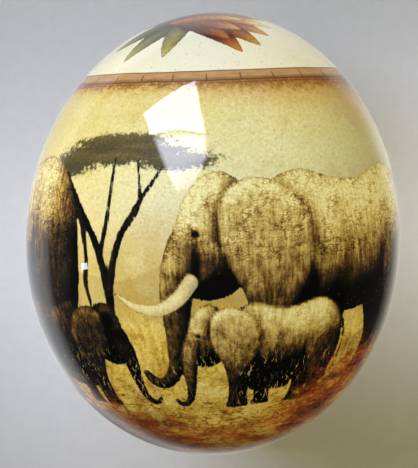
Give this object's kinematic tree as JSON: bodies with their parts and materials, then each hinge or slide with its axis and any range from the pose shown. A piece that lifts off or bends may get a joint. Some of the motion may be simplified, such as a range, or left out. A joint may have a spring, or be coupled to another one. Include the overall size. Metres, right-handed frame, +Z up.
{
  "type": "ostrich egg",
  "caption": "Large smooth ostrich egg, decorated and varnished, lying on its side as an ornament.",
  "frame": {"origin": "on the surface the egg lies on, midway between its two ends", "axes": "+Y along the egg's long axis towards its slightly narrower end, +X across it, +Z up"},
  "size_m": [0.127, 0.15, 0.1266],
  "materials": {
    "shell": "gloss"
  },
  "bodies": {
    "root": {"egg": "shell"}
  },
  "joints": []
}
